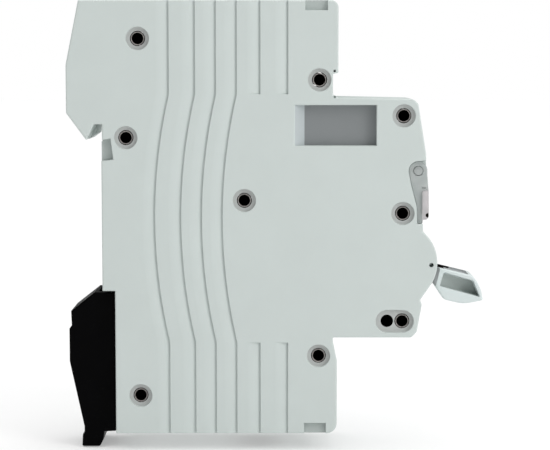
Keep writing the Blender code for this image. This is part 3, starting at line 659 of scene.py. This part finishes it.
# ------------------------------------------------------------------ the two case halves
def case_outline(side):
    hook = [(2.77, 14.8)] if side < 0 else [(2.9, 14.75), (1.6, 15.75, 0.1)]
    low = [(4.09, TOP), (6.52, 28.9, 0.8), (6.52, 19.9)] + hook
    low += [(1.32, 17.8), (-0.15, 17.8, 0.1),
           (-0.15, 14.6, 0.05), (0.0, 14.6, 0.05), (0.0, -13.64), (-2.37, -13.64, 0.15), (-2.37, -TOP), (SHOULDER + 0.1, -TOP, 1.9), (SHOULDER + 0.1, -26.9, 0.2),
           (-43.6, -23.7, 0.2), (-43.5, -NOSE, 0.2), (-58.4, -NOSE, 0.9), (-59.4, -21.4, 0.9), (-60.3, -16.3, 0.4),
           (-60.0, -15.3, 0.3)]
    low += arc(PIVOT, BOSS_R, 211, 130, 30)
    low += [(-60.42, -0.9, 0.2), (-59.9, -0.9, 0.1), (-59.9, 6.6, 0.1), (-61.15, 6.6, 0.15), (-60.95, 11.05),
            (-60.9, 12.3, 0.5),
            (-59.4, 21.6, 0.9), (-58.5, NOSE, 0.9), (SHOULDER, NOSE + 0.3, 0.2), (-43.4, 23.4, 0.2), (-43.4, 27.2, 0.2),
            (SHOULDER, 27.4, 0.2), (SHOULDER, TOP, 1.4)]
    return eased(low, 0.16, 3)


CAVITY = [(-1.4, 39.5), (-43.0, 39.5), (-43.0, 28.8), (-42.0, 28.0), (-42.0, 21.0), (-57.9, 21.0), (-58.9, 13.0),
          (-56.2, 12.4), (-56.2, -1.5), (-53.2, -2.5), (-53.2, -14.0), (-58.2, -15.5), (-58.2, -20.4),
          (-57.4, -21.2), (-42.9, -21.2), (-42.9, -39.5), (-3.8, -39.5), (-3.8, -12.24), (-1.4, -12.24)]

COVER_RECESS = ([(-62.5, 11.05), (-60.4, 11.05)] + arc(COVER_P, 1.85, 100, -12, 16)
                + [(-58.15, 6.4), (-59.2, 2.3), (-59.3, -0.9), (-62.5, -0.9)])


def flutes(bm, side):
    """Flutes that sink slowly from the face to a small wall, bowed to the rear between the kinks."""
    rear = GROOVE_KINK
    radius = (rear ** 2 + GROOVE_SAG ** 2) / (2 * GROOVE_SAG)

    def bulge(z):
        if abs(z) >= rear:
            return 0.0
        return math.sqrt(radius ** 2 - z ** 2) - (radius - GROOVE_SAG)

    top = TOP + 1.0
    for wall_y, width, full in GROOVES:
        section = [(-0.12, 0.5), (-0.12, 0.0), (-0.04, -0.03), (0.0, -0.11), (0.0, -GROOVE_DEPTH)]
        for k in range(1, 9):
            s = k / 9
            section.append((width * s, -GROOVE_DEPTH * (1 - s) ** 1.8 * (1 - 0.25 * s)))
        section += [(width + 0.02, 0.004), (width + 0.3, 0.5)]
        if full:
            spans = [[-top, -rear] + [-rear + 2 * rear * k / 24 for k in range(1, 24)] + [rear, top]]
        else:
            spans = [[-top, -rear - 0.1], [rear + 0.1, top]]
        for levels in spans:
            loft(bm, [[(side * (HALF + h), wall_y + bulge(z) + s, z) for s, h in section] for z in levels])


def case_half(name, side, node):
    outer = side * HALF
    inner = PART + side * PART_GAP
    past = PART - side * 1.0
    edges = (0.32, 0.14) if side < 0 else (0.14, 0.32)
    obj = make(name, lambda bm: soft_prism(bm, case_outline(side), min(outer, inner), max(outer, inner), "X", edges), body_mat)

    def span(a, b):
        return min(a, b), max(a, b)

    boolean(obj, lambda bm: prism(bm, CAVITY, *span(side * (HALF - WALL), past)))

    def bosses(bm):
        for i, c in enumerate(RIVETS):
            if i == 6:
                prism(bm, stadium(SPARE_HOLE, c, 2.3, 10), *span(side * (HALF - 1.0), inner))
            elif i == 5:
                rod(bm, c, 2.4, *span(side * (HALF - 1.0), side * 4.45), n=28)
            else:
                rod(bm, c, 2.4, *span(side * (HALF - 1.0), inner), n=28)
        rod(bm, ARM_P, 2.0, *span(side * (HALF - 1.0), side * 5.5), n=24)
        rod(bm, TRIP_P, 1.8, *span(side * (HALF - 1.0), side * 5.5), n=24)

    boolean(obj, bosses, "UNION")

    def pads(bm):
        block(bm, *span(side * (HALF - 1.0), side * 4.95), -52.9, -37.2, 12.5, 21.5)
        if side > 0:
            block(bm, -1.9, 1.9, -6.8, -3.2, -32.4, -30.8)

    boolean(obj, pads, "UNION")
    boolean(obj, lambda bm: rod(bm, PIVOT, DRUM_R + RUN, -4.35, 4.35, n=96))

    def toggle_slot(bm):
        soft = [(-66.0, -1.7), (-54.0, -1.7), (-54.0, -13.9), (-66.0, -14.9)]
        prism(bm, soft, -4.35, 4.35)

    boolean(obj, toggle_slot)

    def counterbores(bm):
        floor = side * (HALF - COUNTERBORE_D)
        for i, c in enumerate(RIVETS):
            outline = stadium(SPARE_HOLE, c, COUNTERBORE_R, 24) if i == 6 else circle(c, COUNTERBORE_R, 48)
            flared(bm, outline, floor, outer, 0.10, floor_edge=0.12)

    boolean(obj, counterbores)

    def bores(bm):
        seat_x = side * (HALF - 1.22)
        for c in RIVETS:
            turned(bm, [(0, side * (HALF + 1)), (RIVET_R + 0.21, side * (HALF + 1)), (RIVET_R + 0.21, seat_x),
                        (RIVET_R + FIT, seat_x), (RIVET_R + FIT, past), (0, past)], c, "X", 44)
        rod(bm, SPARE_HOLE, SPARE_R, *span(side * (HALF + 1), past), n=40)
        rod(bm, ARM_P, 1.25, *span(side * 6.8, past), n=24)
        rod(bm, TRIP_P, 1.05, *span(side * 6.8, past), n=24)
        rod(bm, PIVOT, 1.25, *span(side * 6.2, side * 4.0), n=24)
        flared(bm, circle((-62.05, -8.7), 0.42, 20), side * 4.0, outer, 0.06)
        for c in ((-43.7, 27.75), (-43.75, 22.95)):
            rod(bm, c, 0.24, *span(side * (HALF + 1), side * (HALF - 1.2)), n=14)

    boolean(obj, bores)
    boolean(obj, lambda bm: flutes(bm, side))

    def side_cuts(bm):
        for y0, y1, z0, z1 in ((-42.4, -38.2, TOP - 1.87, TOP + 1), (-42.2, -38.1, -TOP - 1, -TOP + 2.03)):
            flared(bm, [(y0, z0), (y1, z0), (y1, z1), (y0, z1)], side * (HALF - 0.9), outer, 0.10)
        flared(bm, eased(COVER_RECESS, 0.2, 3), side * 7.4, outer, 0.10)
        flared(bm, [(1.0, 14.7), (-1.77, 15.15), (-2.26, 11.2), (1.0, 10.8)], side * (HALF - 1.26), outer, 0.08)
        # the window's floor, with a ramp at its rear end
        levels = [(HALF + 1.0, -36.2, 0.12), (HALF, -36.2, 0.12), (HALF - 0.04, -36.22, 0.04), (HALF - 0.12, -36.28, 0.0)]
        rings = [[(side * (HALF + 1.0), y, z) for y, z in ((-36.08, 13.68), (-36.08, 21.52), (-51.72, 21.52), (-51.72, 13.68))],
                 [(side * HALF, y, z) for y, z in ((-36.08, 13.68), (-36.08, 21.52), (-51.72, 21.52), (-51.72, 13.68))],
                 [(side * (HALF - 0.04), y, z) for y, z in ((-36.16, 13.74), (-36.16, 21.46), (-51.66, 21.46), (-51.66, 13.74))],
                 [(side * (HALF - 0.12), y, z) for y, z in ((-36.3, 13.8), (-36.3, 21.4), (-51.6, 21.4), (-51.6, 13.8))],
                 [(side * 6.15, y, z) for y, z in ((-39.0, 13.8), (-39.0, 21.4), (-51.6, 21.4), (-51.6, 13.8))]]
        loft(bm, [[Vector(p) for p in ring] for ring in rings])

    boolean(obj, side_cuts)
    boolean(obj, lambda bm: turned(bm, [(0, side * 7.0), (0.86, side * 7.0), (0.86, side * 8.06), (0.82, side * 8.12),
                                        (0.74, side * 8.15), (0, side * 8.15)], COVER_P, "X", 28), "UNION")

    def end_cuts(bm):
        mouth = eased([(-4.6, -32.3, 1.0), (4.6, -32.3, 1.0), (4.6, -26.3, 1.0), (-4.6, -26.3, 1.0)], 1.0, 5)
        for s in (1, -1):
            flared(bm, mouth, s * 38.8, s * TOP, 0.35, "Z", steps=4)
            face = SHOULDER if s > 0 else SHOULDER + 0.1
            flared(bm, circle((0.0, s * TERMINAL_Z), 3.3, 48), -42.5, face, 0.3, "Y", steps=4)
        if side > 0:
            block(bm, -1.9, 1.9, -5.0, -1.0, -26.2, -17.6)

    boolean(obj, end_cuts)
    settle(obj)
    # painted shadow: the faces down the spare hole, and in the gap round each rivet, get the near-black finish
    inside(obj, SPARE_HOLE, SPARE_R + 0.03, HALF - COUNTERBORE_D - 0.05, shadow_mat)
    for c in RIVETS:
        darken(obj, c, RIVET_R + 0.24, HALF - COUNTERBORE_D + 0.03, 1)
    painted_shade_slot = finish(obj, counterbore_shade_mat)
    recess_shade_slot = finish(obj, recess_shade_mat)
    stub = finish(obj, clear_mat)
    ramp_shade_slot = finish(obj, ramp_shade_mat)
    for face in obj.data.polygons:
        c = face.center / MM
        if face.material_index or abs(c.x) < 7.0:
            continue
        level = abs(c.x) < HALF - 0.16
        # painted shade: the floor of the notch by the rail hook, and the floors of the two cuts by the shoulders at
        # both ends, get the darker grey
        if level and c.y > -2.4 and 10.7 < c.z < 15.3 and c.y < 0.02 and abs(face.normal.x) > 0.7:
            face.material_index = recess_shade_slot
        elif level and abs(face.normal.x) > 0.7 and -42.5 < c.y < -38.0 and abs(c.z) > TOP - 2.1:
            face.material_index = recess_shade_slot
        # painted shade: the window's sloping rear ramp gets the darker grey
        elif abs(c.x) < HALF - 0.14 and -39.2 < c.y < -36.2 and 13.7 < c.z < 21.5 and 0.3 < abs(face.normal.x) < 0.97:
            face.material_index = ramp_shade_slot
        elif abs(c.x) > 7.5 and math.hypot(c.y - COVER_P[0], c.z - COVER_P[1]) < 0.95:
            face.material_index = stub
        # painted shade: the counterbore floors round the rivets get the darker grey
        elif HALF - 0.95 < abs(c.x) < HALF - 0.6 and abs(face.normal.x) > 0.7:
            near = min(math.hypot(c.y - r[0], c.z - r[1]) for r in RIVETS + [SPARE_HOLE])
            if near < COUNTERBORE_R + 0.6:
                face.material_index = painted_shade_slot
    return done(obj, "housing", "body_plastic", node)


case_half("case_cover_half", -1, "left_cover")
case_half("case_base_half", 1, "base_shell")


# ------------------------------------------------------------------ rivets, blanks
def rolled_rivet(bm, c):
    """Hollow shank with a rolled lip at both ends."""
    end = HALF - COUNTERBORE_D
    half = [(0.0, end - 4.2), (RIVET_BORE - 0.15, end - 4.0), (RIVET_BORE, end - 3.8), (RIVET_BORE, end - 0.5),
            (RIVET_BORE, end - 0.08), (RIVET_BORE + 0.03, end + 0.06),
            (RIVET_BORE + 0.07, end + 0.15), (RIVET_BORE + 0.11, end + 0.20), (RIVET_BORE + 0.15, end + 0.20),
            (RIVET_BORE + 0.19, end + 0.15), (RIVET_BORE + 0.22, end + 0.06), (RIVET_BORE + 0.22, end - 0.04),
            (RIVET_BORE + 0.20, end - 0.12), (RIVET_R, end - 0.16), (RIVET_R, end - 0.6)]
    other = [(r, -w) for r, w in reversed(half)]
    turned(bm, half + other, c, "X", 56)


for name, c in zip(RIVET_NAMES, RIVETS):
    obj = make(name + "_tube", lambda bm, c=c: rolled_rivet(bm, c), rivet_shade_mat)
    settle(obj, 50)
    # painted shadow down the bore; the lip above the counterbore floor gets the light painted-highlight copy of the
    # metal
    inside(obj, c, RIVET_BORE + 0.012, HALF - COUNTERBORE_D - 0.02, shadow_mat)
    highlight_rim = finish(obj, lip_highlight_mat)
    for face in obj.data.polygons:
        if abs(face.center.x) / MM > HALF - COUNTERBORE_D + 0.0:
            face.material_index = highlight_rim
    done(obj, "housing", "rivet_steel", name)

for node, side in (("window_blank_left", -1), ("window_blank_right", 1)):
    lo, hi = sorted((side * 6.35, side * 7.0))
    obj = make(node + "_plate",
               lambda bm, lo=lo, hi=hi: soft_prism(bm, eased([(-51.66, 13.74), (-37.95, 13.74), (-37.95, 21.46), (-51.66, 21.46)],
                                                             0.1, 3), lo, hi, "X", (0.03, 0.03)), window_mat)
    settle(obj)
    done(obj, "housing", "window_plastic", node)


# ------------------------------------------------------------------ toggle
def build_toggle():
    edge = 0.3
    obj = make("toggle_lever", lambda bm: soft_prism(bm, circle(PIVOT, DRUM_R, 120), -4.0, 4.0, "X", (0.25, 0.25)),
               toggle_mat)
    handle = [(-58.5, -9.0), (-62.3, -9.3), (-64.5, -9.88, 0.5), (-70.42, -11.32, 0.9), (-71.36, -12.60, 1.2),
              (-72.08, -14.20, 1.2), (-72.42, -15.86, 0.2), (-72.18, -16.09, 0.1), (-68.71, -16.82, 6.0),
              (-64.87, -15.90, 1.5), (-63.62, -13.98, 0.5), (-62.7, -12.6), (-58.0, -13.5)]
    boolean(obj, lambda bm: soft_prism(bm, eased(handle, 0.3, 4, 6.0), -3.85, 3.85, "X", (edge, edge), 4), "UNION")

    # hollow sides, deepest at their lower front corner
    corners = [(-64.9, -10.62, 0.3), (-70.52, -12.28, 0.4), (-71.83, -15.42, 0.12), (-64.12, -13.3, 0.2)]
    mouth = eased(corners, 0.3, 4)

    def sides(bm):
        for side in (-1, 1):
            middle = Vector((-67.8, -13.2))

            def ring(k, depth_of, out=0.0, drop=0.0):
                pts = mouth.at(k)
                return [Vector((side * (3.85 - depth_of(u, v) + out), u, v - drop)) for u, v in pts]

            def deep(u, v):
                lean = (Vector((u, v)) - middle).dot(Vector((-0.80, -0.60)))
                return 2.25 + 0.3 * lean

            def bottom(u, v):
                return min(3.2, max(1.55, deep(u, v)))

            rings = [ring(-0.10, lambda u, v: 0.0, 0.9), ring(-0.10, lambda u, v: 0.0, 0.0),
                     ring(-0.03, lambda u, v: 0.03), ring(0.0, lambda u, v: 0.10),
                     ring(0.14, lambda u, v: bottom(u, v) - 0.10, 0.0, 0.14), ring(0.22, lambda u, v: bottom(u, v), 0.0, 0.16)]
            loft(bm, rings)

    boolean(obj, sides)

    def cuts(bm):
        rod(bm, PIVOT, 1.15, -6, 6, n=32)
        rod(bm, (-62.05, -8.7), 0.45, -6, 6, n=20)

    boolean(obj, cuts)
    d = LINK_D
    boolean(obj, lambda bm: prism(bm, [(d[0] - 1.15, d[1] - 0.95), (-46, d[1] - 0.95), (-46, 1), (d[0] - 1.15, 1)], -1.1, 1.1))
    boolean(obj, lambda bm: (rod(bm, PIVOT, 2.3, 1.8, 5.0, n=40), rod(bm, LINK_D, 0.8, -3.4, 1.6, n=24)))
    # open channel along the top with a deep pocket at its root; the channel's faces carry painted shade and the
    # pocket's faces the near-black painted shadow
    boolean(obj, lambda bm: soft_prism(bm, eased([(-65.3, -8.0), (-65.3, -10.46), (-69.5, -11.5), (-69.8, -10.9),
                                                  (-69.8, -8.0)], 0.2, 3), -3.25, 3.25, "X", (0.12, 0.12)), mat=root_shade_mat)
    boolean(obj, lambda bm: soft_prism(bm, eased([(-63.3, -6.0), (-63.3, -10.9), (-64.4, -10.9), (-64.7, -10.28), (-66.5, -10.72),
                                                  (-66.35, -6.0)], 0.15, 3),
                                       -3.3, 3.3, "X", (0.12, 0.12)), mat=shadow_mat)

    def neck(bm):
        # the handle's root draws in on both sides; the faces this leaves carry painted shade
        for side in (-1, 1):
            rings = []
            for z, lean in ((-15.5, 0.76), (-9.0, -0.81)):
                outline = [(3.98, -63.8 + lean), (2.8, -62.5 + 0.4 * lean), (2.8, -62.05), (5.2, -62.05), (5.2, -63.8 + lean)]
                rings.append([Vector((side * x, y, z)) for x, y in outline])
            loft(bm, rings)

    boolean(obj, neck, mat=root_shade_mat)
    settle(obj)
    # painted shade: the floors of the handle's hollow sides and the low faces there that face upwards get the darker
    # grey
    painted_shade_slot = finish(obj, recess_shade_mat)
    for face in obj.data.polygons:
        c = face.center / MM
        if -71.9 < c.y < -64.3 and c.z < -11.35 + 0.261 * (c.y + 66.0) and abs(c.x) < 2.4 and abs(face.normal.x) > 0.5:
            face.material_index = painted_shade_slot
        elif c.z < -12.5 and c.y < -63.9 and abs(c.x) < 3.75 and face.normal.z > 0.6:
            face.material_index = painted_shade_slot
    return done(obj, "toggle", "toggle_plastic", "toggle")


build_toggle()


# ------------------------------------------------------------------ rail clip
def build_clip():
    outline = [(-2.07, -14.25, 0.2), (1.75, -14.25, 0.3), (6.35, -17.85, 0.3), (6.24, -20.65, 0.2), (6.70, -21.26, 0.2), (6.70, -27.57, 1.2),
               (3.99, -40.22, 0.4), (3.99, -41.4, 0.1), (4.33, -41.75, 0.1), (4.45, -44.05, 0.3), (1.02, -44.05, 0.5),
               (0.41, -42.85, 0.4), (0.16, -41.2, 0.1), (-2.07, -41.1, 0.2)]
    obj = make("rail_clip_body", lambda bm: soft_prism(bm, eased(outline, 0.2, 3), -5.7, 5.7, "X", (0.35, 0.35), 4),
               black_mat)
    boolean(obj, lambda bm: block(bm, -1.6, 1.6, -4.6, -1.6, -21.0, -18.2), "UNION")
    boolean(obj, lambda bm: block(bm, -3.2, 3.2, -6.5, -4.1, -21.5, -17.7), "UNION")
    # the slot that takes the rail's lip, then lightening pockets and a screwdriver slot
    boolean(obj, lambda bm: flared(bm, eased([(-3.9, -0.15), (3.9, -0.15), (3.9, 1.2), (-3.9, 1.2)], 0.3, 3), -17.9,
                                   -14.25, 0.15, "Z", floor_edge=0.15))

    def pockets(bm):
        for x in (-2.75, 2.75):
            flared(bm, eased([(x - 1.9, -27.0), (x + 1.9, -27.0), (x + 1.9, -22.4), (x - 1.9, -22.4)], 0.5, 4), 5.4, 6.70,
                   0.15, "Y", floor_edge=0.2)

    boolean(obj, pockets)
    boolean(obj, lambda bm: flared(bm, eased([(-2.2, 1.6), (2.2, 1.6), (2.2, 3.2), (-2.2, 3.2)], 0.4, 4), -42.6, -44.05,
                                   0.15, "Z", floor_edge=0.15))
    settle(obj)
    return done(obj, "rail_clip", "black_plastic", "din_clip")


build_clip()


# ------------------------------------------------------------------ label cover and its card
def build_cover():
    cheek = ([(-61.45, 5.3, 0.3), (-61.2, 8.3, 0.3)] + arc(COVER_P, 1.72, 172, -12, 20)
             + [(-58.27, 6.4, 0.3), (-59.31, 2.3, 0.5), (-59.42, -0.78, 0.1), (-60.3, -0.78, 0.1), (-60.4, -0.15, 0.1),
                (-61.1, -0.1, 0.3), (-61.5, 0.4, 0.3)])
    obj = make("label_cover_leaf", lambda bm: soft_prism(bm, eased(cheek, 0.2, 3), -8.7, 8.7, "X", (0.18, 0.18)), clear_mat)
    boolean(obj, lambda bm: prism(bm, [(-62.5, 13.0), (-62.5, 6.35), (-60.75, 6.35), (-60.75, -3.0), (-55.0, -3.0),
                                       (-55.0, 13.0)], -7.6, 7.6))

    def set_back(bm):
        # the cheeks stand lower than the leaf's own edge
        for side in (-1, 1):
            outline = eased([(-63.0, 5.35), (-60.25, 5.35), (-60.25, -1.5), (-57.0, -1.5), (-57.0, 12.0), (-63.0, 12.0)],
                            0.3, 3)
            lo, hi = sorted((side * 8.15, side * 10.0))
            prism(bm, outline, lo, hi)

    boolean(obj, set_back)
    boolean(obj, lambda bm: rod(bm, COVER_P, 0.95, -10, 10, n=32))
    boolean(obj, lambda bm: (rod(bm, (-61.3, 0.72), 0.42, 8.2, 10, n=20), rod(bm, (-61.3, 0.72), 0.42, -10, -8.2, n=20)))
    boolean(obj, lambda bm: (block(bm, 7.9, 9.5, -60.95, -60.2, 5.72, 6.0), block(bm, -9.5, -7.9, -60.95, -60.2, 5.72, 6.0)))
    settle(obj)
    obj.data.materials.append(edge_mat)
    obj.data.materials.append(shadow_mat)
    # painted shadow: the faces in the blind notch at the leaf's lower front corner get the near-black finish (index 2)
    for face in obj.data.polygons:
        c = face.center / MM
        if math.hypot(c.y + 61.3, c.z - 0.72) < 0.43:
            face.material_index = 2
        elif abs(c.x) > 8.16 or (abs(c.x) < 7.6 and c.y < -60.7):
            face.material_index = 1
    done(obj, "label_cover", "clear_plastic", "label_cover")

    card = make("label_card_sheet", lambda bm: soft_prism(bm, eased([(-6.9, 0.4), (6.9, 0.4), (6.9, 6.3), (-6.9, 6.3)],
                                                                    0.4, 4), -60.45, -60.15, "Y", (0.05, 0.05), 2), paper_mat)
    settle(card)
    done(card, "housing", "label_card", "label_card")


build_cover()


# ------------------------------------------------------------------ terminal screws
def build_screw(end, s):
    tz = s * TERMINAL_Z
    head = [(0, -43.60), (1.2, -43.58), (2.0, -43.50), (2.5, -43.36), (2.78, -43.12), (2.88, -42.85), (2.9, -42.6),
            (2.9, -41.95), (2.84, -41.83), (2.7, -41.8), (2.0, -41.8)]
    thread = []
    y = -41.6
    while y < -34.6:
        thread += [(2.0, y), (1.78, y + 0.22)]
        y += 0.44
    tail = [(1.9, -34.3), (1.6, -33.85), (1.45, -33.8), (0, -33.8)]
    obj = make(end + "_screw_detail", lambda bm: turned(bm, head + thread + tail, (0.0, tz), "Y", 48), steel_mat)
    boolean(obj, lambda bm: block(bm, -3.5, 3.5, -45.0, -42.6, tz - 0.42, tz + 0.42))
    boolean(obj, lambda bm: prism(bm, eased([(-0.38, tz - 1.7), (0.38, tz - 1.7), (0.38, tz + 1.7), (-0.38, tz + 1.7)],
                                            0.2, 3), -45.0, -42.3, "Y"))
    settle(obj)
    return done(obj, end + "_screw", "zinc_steel", end + "_terminal_screw")


build_screw("top", 1)
build_screw("bottom", -1)


# ------------------------------------------------------------------ stage, light and camera
def floor():
    size = 3.0
    z = CAD_BOX[0][2] - 0.0002
    bm = bmesh.new()
    verts = [bm.verts.new(p) for p in ((-size, -size, z), (size, -size, z), (size, size, z), (-size, size, z))]
    bm.faces.new(verts)
    mesh = bpy.data.meshes.new("floor")
    bm.to_mesh(mesh)
    bm.free()
    obj = bpy.data.objects.new("floor", mesh)
    bpy.context.scene.collection.objects.link(obj)
    look = Look("pale_floor")
    cloud = look.noise(0.01, 3.0, 0.5)
    look.set(Base_Color=look.mix(look.ranged(cloud, 0.3, 0.7, 0.0, 1.0), (0.620, 0.620, 0.620), (0.628, 0.628, 0.628)),
             Roughness=0.9, Specular_IOR_Level=0.1, Emission_Color=(1.0, 1.0, 1.0), Emission_Strength=0.33)
    mesh.materials.append(look.mat)


floor()

scene = bpy.context.scene
scene.view_settings.view_transform = "Standard"
scene.view_settings.look = "None"

# a white backdrop that lights the object only softly
world = bpy.data.worlds.new("studio")
world.use_nodes = True
back = world.node_tree.nodes["Background"]
back.inputs["Color"].default_value = (1.0, 1.0, 1.0, 1.0)
path = world.node_tree.nodes.new("ShaderNodeLightPath")
level = world.node_tree.nodes.new("ShaderNodeMapRange")
level.inputs["To Min"].default_value = 0.25
level.inputs["To Max"].default_value = 1.0
world.node_tree.links.new(path.outputs["Is Camera Ray"], level.inputs["Value"])
world.node_tree.links.new(level.outputs["Result"], back.inputs["Strength"])
scene.world = world


def lamp(name, kind, direction, power, size=0.3, distance=0.6):
    """A lamp that shines on the middle of the object from a direction."""
    light = bpy.data.lights.new(name, kind)
    light.energy = power
    if kind == "AREA":
        light.shape = "SQUARE"
        light.size = size
    else:
        light.angle = size
    obj = bpy.data.objects.new(name, light)
    scene.collection.objects.link(obj)
    way = Vector(direction).normalized()
    obj.location = Vector((0.0, -0.033, 0.0)) + way * distance
    obj.rotation_euler = way.to_track_quat("Z", "Y").to_euler()


lamp("overhead", "SUN", (0.0, -0.1, 1.0), 2.7, math.radians(100), 1.0)
lamp("key_light", "AREA", (-0.60, -0.72, 0.36), 1.05, 0.26)

# camera on the breaker's left side, level with the upper terminal, looking slightly down
DISTANCE = 330.0
TILT = math.radians(5.289)
LENS_PX = 1763.0
cam = bpy.data.cameras.new("camera")
cam.sensor_width = 36.0
cam.sensor_fit = "HORIZONTAL"
cam.lens = 36.0 * LENS_PX / 550.0
cam.clip_start = 0.01
cam.clip_end = 20.0
cam.dof.use_dof = False
cam_obj = bpy.data.objects.new("camera", cam)
scene.collection.objects.link(cam_obj)
cam_obj.location = Vector((-HALF - DISTANCE, -32.57, 29.46)) * MM
cam_obj.rotation_euler = Vector((math.cos(TILT), 0.0, -math.sin(TILT))).to_track_quat("-Z", "Y").to_euler()
scene.camera = cam_obj
